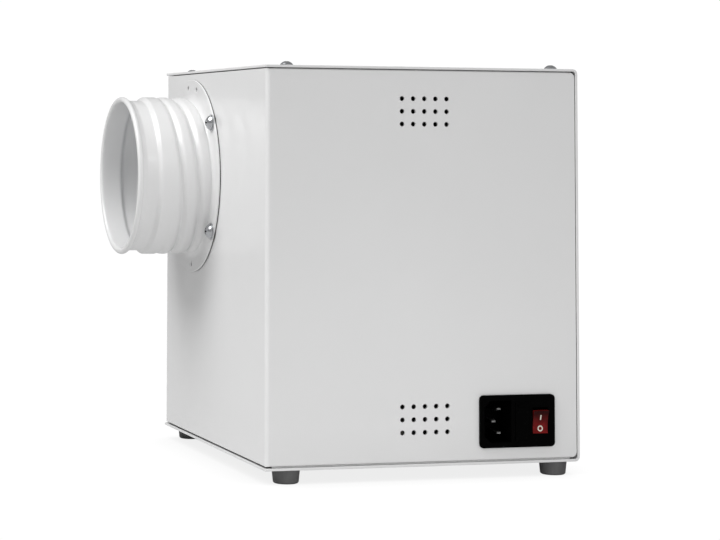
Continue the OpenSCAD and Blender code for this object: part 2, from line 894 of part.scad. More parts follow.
module filter_shelf() {
  shelf_z = tub_z0 - touch - sheet;
  shelf_x1 = fan_x - 0.5;
  leg_y1 = y_rear - 18;
  foot_l = 19.5;
  color("#b9bcc0") difference() {
    union() {
      block(x_left + 4, shelf_x1, tub_y0, tub_y1, shelf_z, shelf_z + sheet);
      block(shelf_x1 - sheet, shelf_x1, tub_y0, leg_y1, floor_z, shelf_z + join);
      block(shelf_x1 - foot_l, shelf_x1, tub_y0, leg_y1, floor_z, floor_z + sheet);
    }
    at_chassis(floor_z - 1) cylinder(d = clear_d, h = sheet + 2);
  }
}

module chassis_screws() {
  color("silver") at_chassis(z_bot - touch) rotate([180, 0, 0]) pan_screw(chassis_screw_l);
}

module chassis_nuts() {
  color("silver") at_chassis(floor_z + sheet + touch) hex_nut();
}

// ---------- filters ----------

module filter_tub() {
  color("#dfe2e5") difference() {
    block(tub_x0, tub_x1, tub_y0, tub_y1, tub_z0, tub_z1);
    block(tub_x0 - 1, tub_x1 - tub_t, tub_y0 + tub_t, tub_y1 - tub_t, tub_z0 + tub_t, tub_z1 - tub_t);
    translate([tub_x1 - tub_t - 1, fan_y, fan_z]) rotate([0, 90, 0]) cylinder(r = 40, h = tub_t + 2);
  }
}

module plenum_seal() {
  x0 = shell_x0 + sheet + touch;
  x1 = tub_x0 - touch;
  seal_w = 5.5;
  color("#454545") difference() {
    block(x0, x1, tub_y0, tub_y1, tub_z0, tub_z1);
    block(x0 - 1, x1 + 1, tub_y0 + seal_w, tub_y1 - seal_w, tub_z0 + seal_w, tub_z1 - seal_w);
  }
}

module pre_filter() {
  color("lightsteelblue") block(pre_x0 + fit, hepa_x0 - fit, cell_y0, cell_y1, cell_z0, cell_z1);
}

module hepa_frame() {
  color("burlywood") difference() {
    block(hepa_x0, carbon_x0 - fit, cell_y0, cell_y1, cell_z0, cell_z1);
    block(hepa_x0 - 1, carbon_x0 + 1, cell_y0 + frame_t, cell_y1 - frame_t,
          cell_z0 + frame_t, cell_z1 - frame_t);
  }
}

module hepa_pleats() {
  y0 = cell_y0 + frame_t + fit;
  step = (cell_y1 - cell_y0 - 2 * frame_t - 2 * fit) / (2 * pleats);
  xa = hepa_x0 + 3;
  xb = carbon_x0 - 8;
  thick = 5;
  up = [for (i = [0:2 * pleats]) [i % 2 == 0 ? xa : xb, y0 + i * step]];
  down = [for (i = [2 * pleats:-1:0]) [(i % 2 == 0 ? xa : xb) + thick, y0 + i * step]];
  color("white") translate([0, 0, cell_z0 + frame_t + fit])
    linear_extrude(height = cell_z1 - cell_z0 - 2 * frame_t - 2 * fit) polygon(concat(up, down));
}

module carbon_cassette() {
  bar = 3;
  in_y0 = cell_y0 + frame_t;
  in_y1 = cell_y1 - frame_t;
  in_z0 = cell_z0 + frame_t;
  in_z1 = cell_z1 - frame_t;
  color("#2f3236") difference() {
    block(carbon_x0, carbon_x1, cell_y0, cell_y1, cell_z0, cell_z1);
    block(carbon_x0 + grid_t, carbon_x1 - grid_t, in_y0, in_y1, in_z0, in_z1);
    for (i = [0:3], j = [0:3])
      block(carbon_x0 - 1, carbon_x1 + 1,
            in_y0 + i * (in_y1 - in_y0 + bar) / 4, in_y0 + (i + 1) * (in_y1 - in_y0 + bar) / 4 - bar,
            in_z0 + j * (in_z1 - in_z0 + bar) / 4, in_z0 + (j + 1) * (in_z1 - in_z0 + bar) / 4 - bar);
  }
}

module carbon_bed() {
  x_in = grid_t + fit;
  in = frame_t + fit;
  color("#111111") block(carbon_x0 + x_in, carbon_x1 - x_in, cell_y0 + in, cell_y1 - in,
                         cell_z0 + in, cell_z1 - in);
}

module blower_seal() {
  color("#454545") translate([0, fan_y, fan_z])
    along_x(tub_x1 + touch, fan_x - ring_t - tub_x1 - 3 * touch) difference() {
      circle(r = ring_r);
      circle(r = 41);
    }
}

module outlet_seal() {
  h = scroll_step / 2 + scroll_r + 2 * scroll_step;
  y0 = outlet_y + touch;
  y1 = shell_y1 - sheet - touch;
  color("#454545") difference() {
    block(fan_x, fan_x + fan_len, y0, y1, fan_z - h - scroll_t, fan_z + outlet_top + scroll_t);
    block(fan_x + scroll_t, fan_x + fan_len - scroll_t, y0 - 1, y1 + 1,
          fan_z - h, fan_z + outlet_top);
  }
}

// ---------- wiring ----------

module run_capacitor() {
  color("#c9ccd0") bar_x(cap_x0, cap_x0 + cap_len, cap_y, cap_z, 2 * cap_r);
}

module capacitor_clamp() {
  mid = cap_x0 + cap_len / 2;
  band_w = 8;
  band_t = 1.2;
  color("silver") difference() {
    union() {
      bar_x(mid - band_w / 2, mid + band_w / 2, cap_y, cap_z, 2 * (cap_r + touch + band_t));
      block(mid - 6, mid + 6, cap_y - cap_r - 12, cap_y + cap_r + 12, floor_z, floor_z + sheet);
      block(mid - band_w / 2, mid + band_w / 2, cap_y - 3, cap_y + 3, floor_z, floor_z + 3);
    }
    bar_x(mid - band_w, mid + band_w, cap_y, cap_z, 2 * (cap_r + touch));
    at_chassis(floor_z - 1) cylinder(d = clear_d, h = sheet + 2);
  }
}

module terminal_block() {
  color("ivory") difference() {
    union() {
      block(block_x0, block_x0 + block_l, block_y0, block_y0 + block_w, floor_z, floor_z + sheet);
      block(block_x0 + body_x0, block_x0 + body_x1, block_y0, block_y0 + block_w,
            floor_z, floor_z + block_h);
    }
    at_chassis(floor_z - 1) cylinder(d = clear_d, h = sheet + 2);
  }
}

module live_lead() {
  y0 = lead_y0;
  z0 = mod_z + pin_gap;
  x_drop = block_x0 + 25;
  y_run = y0 + 1 + bend_r;
  color("saddlebrown") {
    bar_y(rocker_x, y0, y0 + 1, z0, lead_d);
    translate([rocker_x - bend_r, y0 + 1, z0]) elbow(bend_r, lead_d);
    bar_x(x_drop + bend_r, rocker_x - bend_r, y_run, z0, lead_d);
    translate([x_drop + bend_r, y_run, z0 - bend_r]) rotate([90, 0, 0]) rotate([0, 0, 90])
      elbow(bend_r, lead_d);
    bar_z(x_drop, y_run, floor_z + block_h + touch, z0 - bend_r, lead_d);
  }
}

module neutral_lead() {
  y0 = lead_y0;
  z0 = mod_z - pin_gap;
  x0 = pin_x(-1);
  y_run = y0 + 1 + bend_r;
  color("royalblue") {
    bar_y(x0, y0, y0 + 1, z0, lead_d);
    translate([x0 - bend_r, y0 + 1, z0]) elbow(bend_r, lead_d);
    bar_x(block_x0 + body_x1 + touch, x0 - bend_r, y_run, z0, lead_d);
  }
}

module earth_lead() {
  y0 = lead_y0;
  x0 = pin_x(0);
  y_drop = stud_y;
  z_run = floor_z + 1.6;
  eyelet_d = 9.6;
  eyelet_t = 1;
  color("yellowgreen") difference() {
    union() {
      bar_y(x0, y0, y_drop - bend_r, mod_z, lead_d);
      translate([x0, y_drop - bend_r, mod_z - bend_r]) rotate([90, 0, 90]) elbow(bend_r, lead_d);
      bar_z(x0, y_drop, z_run + bend_r, mod_z - bend_r, lead_d);
      translate([x0 - bend_r, y_drop, z_run + bend_r]) rotate([-90, 0, 0]) elbow(bend_r, lead_d);
      bar_x(stud_x + eyelet_d / 2 - 0.5, x0 - bend_r, y_drop, z_run, lead_d);
      bar_z(stud_x, stud_y, floor_z + touch, floor_z + eyelet_t, eyelet_d);
    }
    bar_z(stud_x, stud_y, floor_z - 1, floor_z + 2, clear_d);
  }
}

module motor_cable() {
  x0 = motor_x + 24.4;
  z_run = floor_z + 10;
  y_run = block_y0 + 9;
  turn = 8;
  color("#2b2b2b") {
    bar_z(x0, fan_y, z_run + turn, fan_z - motor_r - touch, cable_d);
    translate([x0, fan_y - turn, z_run + turn]) rotate([-90, 0, 90]) elbow(turn, cable_d);
    bar_y(x0, y_run + turn, fan_y - turn, z_run, cable_d);
    translate([x0 - turn, y_run + turn, z_run]) rotate([180, 0, 0]) elbow(turn, cable_d);
    bar_x(block_x0 + body_x1 + touch, x0 - turn, y_run, z_run, cable_d);
  }
}

module capacitor_lead() {
  color("#2b2b2b")
    bar_x(cap_x0 + cap_len + touch, block_x0 + body_x0 - touch, cap_y - 6, floor_z + 13, cable_d);
}

module earth_stud() {
  color("silver") translate([stud_x, stud_y, z_bot - touch]) rotate([180, 0, 0]) pan_screw(earth_stud_l);
}

module earth_nut() {
  color("silver") translate([stud_x, stud_y, floor_z + 1 + touch]) hex_nut();
}

// ---------- nodes ----------

front_left_shell();
outer_cover();
duct_collar();
collar_gasket();
collar_screws();
collar_washers();
collar_nuts();
cover_screws();
cover_nuts();
feet();
foot_screws();
foot_nuts();
inlet_housing();
inlet_pins();
switch_tabs();
rocker();
fuse_drawer();
fuse_link();
fan_scroll();
scroll_screws();
scroll_nuts();
inlet_ring();
impeller();
motor_can();
stator_core();
motor_windings();
rotor_core();
motor_shaft();
motor_bearings();
motor_studs();
motor_bushings();
motor_nuts();
inner_chassis();
filter_shelf();
chassis_screws();
chassis_nuts();
filter_tub();
plenum_seal();
pre_filter();
hepa_frame();
hepa_pleats();
carbon_cassette();
carbon_bed();
blower_seal();
outlet_seal();
run_capacitor();
capacitor_clamp();
terminal_block();
live_lead();
neutral_lead();
earth_lead();
motor_cable();
capacitor_lead();
earth_stud();
earth_nut();
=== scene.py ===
"""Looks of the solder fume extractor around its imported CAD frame. Lengths in the code are metres."""

import json
import math

import bmesh
import bpy
from mathutils import Matrix, Vector


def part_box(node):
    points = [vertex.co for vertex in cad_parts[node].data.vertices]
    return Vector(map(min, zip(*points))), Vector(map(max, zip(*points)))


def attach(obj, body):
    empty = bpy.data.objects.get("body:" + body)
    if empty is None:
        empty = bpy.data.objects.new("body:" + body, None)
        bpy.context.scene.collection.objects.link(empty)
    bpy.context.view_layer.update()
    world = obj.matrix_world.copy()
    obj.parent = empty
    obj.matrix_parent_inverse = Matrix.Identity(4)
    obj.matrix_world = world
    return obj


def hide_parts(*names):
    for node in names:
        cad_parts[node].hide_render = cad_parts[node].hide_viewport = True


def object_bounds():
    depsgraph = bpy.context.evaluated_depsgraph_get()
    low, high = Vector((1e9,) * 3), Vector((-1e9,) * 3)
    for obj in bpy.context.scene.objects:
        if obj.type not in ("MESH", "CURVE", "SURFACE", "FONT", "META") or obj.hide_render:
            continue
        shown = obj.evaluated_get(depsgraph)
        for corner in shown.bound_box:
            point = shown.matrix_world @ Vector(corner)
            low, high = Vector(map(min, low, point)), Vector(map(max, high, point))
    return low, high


MM = 0.001

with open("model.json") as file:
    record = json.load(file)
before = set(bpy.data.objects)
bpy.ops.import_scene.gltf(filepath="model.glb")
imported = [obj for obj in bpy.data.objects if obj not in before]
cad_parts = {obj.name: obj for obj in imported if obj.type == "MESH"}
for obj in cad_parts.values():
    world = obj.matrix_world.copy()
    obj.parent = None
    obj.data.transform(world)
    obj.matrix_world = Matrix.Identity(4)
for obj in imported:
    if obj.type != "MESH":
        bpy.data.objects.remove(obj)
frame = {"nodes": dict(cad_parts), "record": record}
NODES = frame["nodes"]
RECORD = frame["record"]
cad_low, cad_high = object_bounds()
MOUNTS = {m["name"]: m for m in RECORD["mounts"]}
SLOT_COLORS = {m["slot"]: m["base_color"] for m in RECORD["materials"]}
SLOT_OF = {s["node"]: s["material_slot"] for s in RECORD["subparts"]}


# ---------- materials ----------

EDGE_SAMPLES = 4
SHADE_SAMPLES = 8
EDGE_BLUR = (0.02, 0.3)
EDGE_REACH = 0.5 * MM
PATCH_BLUR = (0.3, 0.7)
SCUFF_BLUR = (0.35, 0.65)
SCUFFS_PER_PATCH = 6
WORN_ROUGHNESS = 0.15
# Painted shade: share of the colour left on downward-facing surfaces and deep in hollows.
SHADED_GAIN = 0.15
HOLLOW_SHADE_GAIN = 0.02


class Graph:
    """A material's node tree, with one short call per kind of node."""

    def __init__(self, name):
        self.material = bpy.data.materials.new(name)
        self.material.use_nodes = True
        self.tree = self.material.node_tree
        self.tree.nodes.clear()
        self.output = self.node("ShaderNodeOutputMaterial")
        self.place = self.node("ShaderNodeTexCoord").outputs["Object"]

    def node(self, kind, **settings):
        made = self.tree.nodes.new(kind)
        for key, value in settings.items():
            setattr(made, key, value)
        return made

    def link(self, source, target):
        if isinstance(source, (int, float, tuple, list)):
            target.default_value = source
        else:
            self.tree.links.new(source, target)

    def math(self, operation, a, b=0.0, clamp=False):
        made = self.node("ShaderNodeMath", operation=operation, use_clamp=clamp)
        self.link(a, made.inputs[0])
        self.link(b, made.inputs[1])
        return made.outputs[0]

    def spread(self, value, low, high, to_low=0.0, to_high=1.0):
        made = self.node("ShaderNodeMapRange", interpolation_type="SMOOTHSTEP")
        for socket, item in zip(made.inputs, (value, low, high, to_low, to_high)):
            self.link(item, socket)
        return made.outputs[0]

    def stretched(self, factors):
        made = self.node("ShaderNodeMapping")
        self.link(self.place, made.inputs["Vector"])
        self.link(factors, made.inputs["Scale"])
        return made.outputs[0]

    def noise(self, scale, detail=2.0, factors=(1.0, 1.0, 1.0)):
        made = self.node("ShaderNodeTexNoise")
        self.link(self.stretched(factors), made.inputs["Vector"])
        self.link(scale, made.inputs["Scale"])
        self.link(detail, made.inputs["Detail"])
        return made.outputs["Fac"]

    def cells(self, scale):
        made = self.node("ShaderNodeTexVoronoi")
        self.link(self.place, made.inputs["Vector"])
        self.link(scale, made.inputs["Scale"])
        return made.outputs["Distance"]

    def blend(self, share, a, b):
        made = self.node("ShaderNodeMix", data_type="RGBA")
        self.link(share, made.inputs["Factor"])
        self.link(a, made.inputs[6])
        self.link(b, made.inputs[7])
        return made.outputs[2]

    def bump(self, height, depth, strength=1.0):
        made = self.node("ShaderNodeBump")
        self.link(height, made.inputs["Height"])
        self.link(depth, made.inputs["Distance"])
        self.link(strength, made.inputs["Strength"])
        return made.outputs[0]

    def edges(self, radius):
        """Near 1 at a sharp edge and 0 on the flat."""
        rounded = self.node("ShaderNodeBevel", samples=EDGE_SAMPLES)
        self.link(radius, rounded.inputs["Radius"])
        flat = self.node("ShaderNodeNewGeometry").outputs["Normal"]
        dot = self.node("ShaderNodeVectorMath", operation="DOT_PRODUCT")
        self.link(rounded.outputs[0], dot.inputs[0])
        self.link(flat, dot.inputs[1])
        return self.spread(self.math("SUBTRACT", 1.0, dot.outputs["Value"]), *EDGE_BLUR)

    def openness(self, reach):
        """Near 1 in the open and 0 deep in a hollow, from ambient occlusion; used to paint shade into
        colours.
        """
        near = self.node("ShaderNodeAmbientOcclusion", samples=SHADE_SAMPLES)
        self.link(reach, near.inputs["Distance"])
        return near.outputs["AO"]


def rgba(color, gain=1.0):
    return tuple(min(1.0, c * gain) for c in color) + (1.0,)


def finish(slot, rough=0.5, metal=0.0, coat=0.0, coat_rough=0.1, mottle=0.05, mottle_scale=60.0,
           grain="peel", grain_scale=900.0, grain_depth=0.02, rough_spread=0.06,
           wear=0.3, wear_gain=1.25, gain=1.0, hollow_shade=None, underside_shade=None, shine=0.5):
    """A procedural material: mottled colour, surface grain, uneven roughness and worn edges, with optional
    painted shade in hollows and on downward-facing surfaces.
    """
    graph = Graph(slot)
    color = [channel * gain for channel in SLOT_COLORS[slot]]
    patches = graph.noise(mottle_scale, 3.0)
    tone = graph.blend(graph.spread(patches, *PATCH_BLUR), rgba(color, 1 - mottle), rgba(color, 1 + mottle))
    fine = {
        "peel": lambda: graph.noise(grain_scale, 1.5),
        "pores": lambda: graph.cells(grain_scale),
        "brushed": lambda: graph.noise(grain_scale, 2.0, (1.0, 0.06, 1.0)),
        "fibre": lambda: graph.noise(grain_scale, 4.0, (1.0, 0.25, 0.5)),
        "turned": lambda: graph.noise(grain_scale, 2.0, (1.0, 0.1, 0.1)),
    }[grain]()
    scuffs = graph.noise(mottle_scale * SCUFFS_PER_PATCH, 4.0)
    rim = graph.math("MULTIPLY", graph.edges(EDGE_REACH), graph.spread(scuffs, *SCUFF_BLUR))
    worn = graph.math("MULTIPLY", rim, wear, clamp=True)
    tone = graph.blend(worn, tone, rgba(color, wear_gain))
    shader = graph.node("ShaderNodeBsdfPrincipled")
    # Painted shade: surfaces facing downwards take a darker copy of the colour.
    if underside_shade:
        facing = graph.node("ShaderNodeSeparateXYZ")
        graph.link(graph.node("ShaderNodeNewGeometry").outputs["Normal"], facing.inputs[0])
        tone = graph.blend(graph.spread(facing.outputs["Z"], *underside_shade), rgba(color, SHADED_GAIN), tone)
    # Painted shade: colour darkened and sheen dimmed where ambient occlusion finds a hollow.
    if hollow_shade:
        reach, dark, light = hollow_shade
        light_in = graph.spread(graph.openness(reach), dark, light)
        tone = graph.blend(light_in, rgba(color, HOLLOW_SHADE_GAIN), tone)
        shine = graph.math("MULTIPLY", light_in, shine)
    graph.link(shine, shader.inputs["Specular IOR Level"])
    graph.link(tone, shader.inputs["Base Color"])
    uneven = graph.math("MULTIPLY", graph.math("SUBTRACT", scuffs, 0.5), 4 * rough_spread)
    uneven = graph.math("ADD", uneven, graph.math("MULTIPLY", worn, WORN_ROUGHNESS))
    graph.link(graph.math("ADD", uneven, rough, clamp=True), shader.inputs["Roughness"])
    graph.link(metal, shader.inputs["Metallic"])
    graph.link(coat, shader.inputs["Coat Weight"])
    graph.link(coat_rough, shader.inputs["Coat Roughness"])
    surface = graph.bump(fine, grain_depth * MM)
    graph.link(surface, shader.inputs["Normal"])
    graph.link(graph.bump(graph.noise(grain_scale * 0.3, 1.0), grain_depth * MM),
               shader.inputs["Coat Normal"])
    graph.link(shader.outputs[0], graph.output.inputs["Surface"])
    return graph.material


METAL = {"metal": 1.0, "mottle": 0.06, "wear": 0.4, "wear_gain": 1.3}
RUBBER = {"rough": 0.75, "grain": "pores", "grain_scale": 1600.0, "grain_depth": 0.03, "mottle": 0.12}
SLEEVE = {"rough": 0.35, "coat": 0.3, "mottle": 0.08, "grain_scale": 500.0}
MATERIALS = {
    # Painted shade: the gaps between the panels are darkened by ambient occlusion.
    "casing_paint": finish("casing_paint", rough=0.42, coat=0.55, coat_rough=0.06, mottle=0.006,
                           mottle_scale=14.0, grain_scale=1100.0, grain_depth=0.012,
                           rough_spread=0.05, wear=0.25, wear_gain=1.12, shine=0.35,
                           hollow_shade=(4 * MM, 0.15, 0.52)),
    "collar_paint": finish("collar_paint", rough=0.34, coat=0.5, coat_rough=0.14, mottle=0.006,
                           mottle_scale=18.0, grain_scale=420.0, grain_depth=0.0025,
                           rough_spread=0.04, wear=0.25, wear_gain=1.08, gain=0.95),
    "gasket_rubber": finish("gasket_rubber", **RUBBER),
    "seal_foam": finish("seal_foam", **{**RUBBER, "grain_scale": 900.0, "grain_depth": 0.15}),
    # Painted shade: hollows in the screws are darkened by ambient occlusion.
    "zinc_steel": finish("zinc_steel", rough=0.22, grain="turned", grain_scale=2500.0,
                         grain_depth=0.01, gain=0.85, hollow_shade=(2 * MM, 0.1, 0.6), **METAL),
    "foot_rubber": finish("foot_rubber", gain=1.15, **RUBBER),
    # Painted shade: the inlet's recess is darkened further by ambient occlusion.
    "black_plastic": finish("black_plastic", rough=0.5, mottle=0.1, grain="pores",
                            grain_scale=2600.0, grain_depth=0.01, wear=0.1, wear_gain=2.0,
                            gain=0.05, shine=0.02, hollow_shade=(8 * MM, 0.2, 0.9)),
    # Painted shade: the pins' colour is dimmed and darkened further by ambient occlusion deep in the inlet.
    "plated_contact": finish("plated_contact", rough=0.3, grain="brushed", grain_scale=3000.0,
                             grain_depth=0.005, gain=0.42, hollow_shade=(10 * MM, 0.3, 0.8), **METAL),
    # Painted shade: the rocker is darkened on downward-facing parts of its dish and in hollows by ambient
    # occlusion.
    "red_plastic": finish("red_plastic", rough=0.35, coat=0.05, coat_rough=0.1, mottle=0.25,
                          mottle_scale=260.0, grain_scale=1500.0, grain_depth=0.003,
                          wear=0.2, wear_gain=1.5, gain=0.28, shine=0.08,
                          hollow_shade=(6 * MM, 0.1, 0.8), underside_shade=(-0.5, 0.02)),
    "fuse_metal": finish("fuse_metal", rough=0.22, grain="brushed", grain_scale=2500.0,
                         grain_depth=0.005, **METAL),
    "scroll_plastic": finish("scroll_plastic", rough=0.5, grain="pores", grain_scale=1400.0,
                             grain_depth=0.03, mottle=0.1),
    "wheel_plastic": finish("wheel_plastic", rough=0.32, mottle=0.1, grain_scale=1200.0),
    "motor_metal": finish("motor_metal", rough=0.4, grain="pores", grain_scale=1500.0,
                          grain_depth=0.03, **METAL),
    "lamination": finish("lamination", rough=0.45, grain="brushed", grain_scale=2000.0, **METAL),
    "copper_wire": finish("copper_wire", rough=0.3, grain="brushed", grain_scale=1500.0,
                          grain_depth=0.1, **METAL),
    "turned_steel": finish("turned_steel", rough=0.25, grain="turned", grain_scale=2500.0, **METAL),
    "galvanised_sheet": finish("galvanised_sheet", rough=0.4, grain="pores", grain_scale=120.0,
                               grain_depth=0.01, metal=1.0, mottle=0.18, mottle_scale=120.0),
    "tub_paint": finish("tub_paint", rough=0.4, coat=0.2, mottle=0.02),
    "fleece": finish("fleece", rough=0.95, grain="fibre", grain_scale=1800.0, grain_depth=0.5,
                     mottle=0.1, mottle_scale=300.0, wear=0.0),
    "frame_board": finish("frame_board", rough=0.85, grain="fibre", grain_scale=1200.0,
                          grain_depth=0.08, mottle=0.12, mottle_scale=200.0),
    "filter_paper": finish("filter_paper", rough=0.9, grain="fibre", grain_scale=2200.0,
                           grain_depth=0.06, mottle=0.05, wear=0.1, wear_gain=0.8),
    "cassette_plastic": finish("cassette_plastic", rough=0.5, grain="pores", grain_scale=1400.0,
                               grain_depth=0.03, mottle=0.1),
    "carbon_grains": finish("carbon_grains", rough=0.7, grain="pores", grain_scale=420.0,
                            grain_depth=1.2, mottle=0.5, mottle_scale=400.0, wear=0.0),
    "ivory_plastic": finish("ivory_plastic", rough=0.45, mottle=0.05, wear_gain=1.1),
    "brown_sleeve": finish("brown_sleeve", **SLEEVE),
    "blue_sleeve": finish("blue_sleeve", **SLEEVE),
    "green_sleeve": finish("green_sleeve", **SLEEVE),
    "cable_sleeve": finish("cable_sleeve", rough=0.55, grain="pores", grain_scale=1500.0),
}


def dress(piece, slot):
    piece.data.materials.clear()
    piece.data.materials.append(MATERIALS[slot])


# ---------- carried-over CAD pieces ----------

WELD_REACH = 0.002 * MM


def soften(piece, width, steps=2, angle=35.0):
    """Rounds the sharp edges of a CAD piece with modifiers, leaving its mesh alone."""
    weld = piece.modifiers.new("weld", "WELD")
    weld.merge_threshold = WELD_REACH
    bevel = piece.modifiers.new("bevel", "BEVEL")
    bevel.width = width
    bevel.segments = steps
    bevel.limit_method = "ANGLE"
    bevel.angle_limit = math.radians(angle)
    bevel.use_clamp_overlap = True
    bevel.loop_slide = False
    shade = piece.modifiers.new("shade", "WEIGHTED_NORMAL")
    shade.keep_sharp = True
    shade.weight = 90


SOFT_EDGES = {
    "outer_cover": 0.3 * MM,
    "rocker": 0.3 * MM,
    "inlet_housing": 0.25 * MM,
    "feet": 0.3 * MM,
    "inlet_pins": 0.3 * MM,
}

for name, piece in NODES.items():
    dress(piece, SLOT_OF[name])
    if name in SOFT_EDGES:
        soften(piece, SOFT_EDGES[name])


# ---------- mesh helpers ----------

def new_piece(name, mesh, slot, body, replaced=()):
    piece = bpy.data.objects.new(name, mesh)
    bpy.context.scene.collection.objects.link(piece)
    dress(piece, slot)
    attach(piece, body)
    if replaced:
        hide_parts(*replaced)
    return piece


def smooth(mesh, angle=35.0):
    mesh.shade_smooth()
    mesh.set_sharp_from_angle(angle=math.radians(angle))


def ring_mesh(name, rings):
    """A closed skin through rings of equally many points, joined end to end both ways."""
    count = len(rings[0])
    points = [p for ring in rings for p in ring]
    faces = []
    for i in range(len(rings)):
        j = (i + 1) % len(rings)
        for k in range(count):
            m = (k + 1) % count
            faces.append((i * count + k, i * count + m, j * count + m, j * count + k))
    mesh = bpy.data.meshes.new(name)
    mesh.from_pydata(points, [], faces)
    mesh.update()
    return mesh


def cut_holes(piece, cutter):
    change = piece.modifiers.new("holes", "BOOLEAN")
    change.operation = "DIFFERENCE"
    change.solver = "EXACT"
    change.object = cutter
    graph = bpy.context.evaluated_depsgraph_get()
    mesh = bpy.data.meshes.new_from_object(piece.evaluated_get(graph))
    piece.modifiers.clear()
    piece.data = mesh
    bpy.data.objects.remove(cutter)


# ---------- hose collar with its screw thread ----------

SPIGOT = MOUNTS["hose_spigot"]
AXIS = Vector(SPIGOT["pos_m"])
CREST_R = SPIGOT["dims"]["r_mm"] * MM
collar_low, collar_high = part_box("duct_collar")
WALL_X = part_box("front_left_shell")[0].x
COLLAR_END = WALL_X - collar_low.x
FLANGE_BACK = WALL_X - collar_high.x
FLANGE_R = (collar_high.z - collar_low.z) / 2
FLANGE_FRONT = 1.5 * MM
SKIN = 1.4 * MM
NECK_DROP = 2.3 * MM
NECK_R = CREST_R - NECK_DROP
BORE_R = NECK_R - SKIN
LIP_EASE = 0.05 * MM
LIP_MINOR = (CREST_R - BORE_R) / 2 - LIP_EASE
LIP_R = CREST_R - LIP_MINOR
LIP_AT = COLLAR_END - LIP_MINOR
LIP_RISE = 1.2 * MM
LIP_RISE_FROM = 42.3 * MM
LIP_RISE_TO = 46.2 * MM
NECK_FROM = 33.2 * MM
NECK_TO = 36.0 * MM
THREAD_START = 25.8 * MM
THREAD_LEAD = 21.0 * MM
THREAD_GAP = THREAD_LEAD / 2
GROOVES_IN_REACH = range(-2, 4)
GROOVE_DEPTH = 2.1 * MM
GROOVE_HALF = 2.0 * MM
FADE_FROM = 22.0 * MM
FADE_TO = 27.0 * MM
FLARE_R = 5.0 * MM
TURN_STEPS = 240
WALL_STEPS = 96
LIP_STEPS = 20
LIP_FROM_DEGREES = -60
LIP_SWEEP_DEGREES = 240
BORE_STEPS = 70
BORE_FROM = LIP_AT - 0.6 * MM
BORE_JOINS_WALL = (6 * MM, 10 * MM)
BORE_LEAVES_WALL = (38 * MM, 41 * MM)
RIM_EDGE = 0.3 * MM
BACK_EDGE = 0.2 * MM
BACK_LEDGE = 6 * MM
FACE_SHARES = (0.2, 0.4, 0.6, 0.8)
HOLE_STEPS = 32
CUTTER_LENGTH = 8 * MM
SCREW_HOLE_R = 2.65 * MM
WASHER_R = 5.2 * MM
DRAIN_HOLE_R = 1.6 * MM
DRAIN_CIRCLE_R = 56 * MM
# degrees round the collar's axis, from its front towards its top
SCREW_ANGLES = (36, -36, 144, -144)
DRAIN_ANGLES = (77, 96, -87)


def step(value, low, high):
    t = min(1.0, max(0.0, (value - low) / (high - low)))
    return t * t * (3 - 2 * t)


def thread_radius(s, turn):
    """Outer radius of the collar at distance s from the wall; turn is 0 at the top and 0.25 at the front."""
    radius = CREST_R - (CREST_R - NECK_R) * step(s, NECK_FROM, NECK_TO)
    radius += LIP_RISE * step(s, LIP_RISE_FROM, LIP_RISE_TO)
    keep = 1 - step(s, FADE_FROM, FADE_TO)
    dip = 0.0
    for k in GROOVES_IN_REACH:
        centre = THREAD_START - THREAD_LEAD * turn + THREAD_GAP * k
        dip = max(dip, math.exp(-((s - centre) / GROOVE_HALF) ** 2))
    return radius - GROOVE_DEPTH * keep * dip


def flare_radius(s):
    if s >= FLANGE_FRONT + FLARE_R:
        return 0.0
    up = FLANGE_FRONT + FLARE_R - s
    return NECK_R + FLARE_R - math.sqrt(max(0.0, FLARE_R ** 2 - up ** 2))


def collar_profile(turn):
    """(s, radius) round the collar's section, from the flange's back edge over the lip and back inside."""
    outline = [(FLANGE_BACK, FLANGE_R), (FLANGE_BACK + BACK_EDGE, FLANGE_R),
               (FLANGE_FRONT - RIM_EDGE, FLANGE_R), (FLANGE_FRONT, FLANGE_R - RIM_EDGE)]
    for share in FACE_SHARES:
        outline.append((FLANGE_FRONT, FLANGE_R - (FLANGE_R - NECK_R - FLARE_R) * share))
    first, last = FLANGE_FRONT, LIP_AT - LIP_MINOR
    for i in range(WALL_STEPS + 1):
        s = first + (last - first) * i / WALL_STEPS
        outline.append((s, max(thread_radius(s, turn), flare_radius(s))))
    for i in range(LIP_STEPS + 1):
        angle = math.radians(LIP_FROM_DEGREES + LIP_SWEEP_DEGREES * i / LIP_STEPS)
        outline.append((LIP_AT + LIP_MINOR * math.sin(angle), LIP_R + LIP_MINOR * math.cos(angle)))
    for i in range(BORE_STEPS + 1):
        s = BORE_FROM + (FLANGE_BACK - BORE_FROM) * i / BORE_STEPS
        follow = step(s, *BORE_JOINS_WALL) * (1 - step(s, *BORE_LEAVES_WALL))
        bore = BORE_R + (thread_radius(s, turn) - SKIN - BORE_R) * follow
        outline.append((s, bore))
    outline.append((FLANGE_BACK, FLANGE_R - BACK_LEDGE))
    return outline


def collar_point(s, radius, turn):
    angle = 2 * math.pi * turn
    return (WALL_X - s, AXIS.y - radius * math.sin(angle), AXIS.z + radius * math.cos(angle))


def make_collar():
    rings = []
    for k in range(TURN_STEPS):
        turn = k / TURN_STEPS
        rings.append([collar_point(s, radius, turn) for s, radius in collar_profile(turn)])
    mesh = ring_mesh("duct_collar_skin", rings)
    piece = new_piece("duct_collar_skin", mesh, "collar_paint", "casing", ["duct_collar"])
    cut_holes(piece, flange_cutters())
    bmesh_clean(piece.data)
    smooth(piece.data, 40)


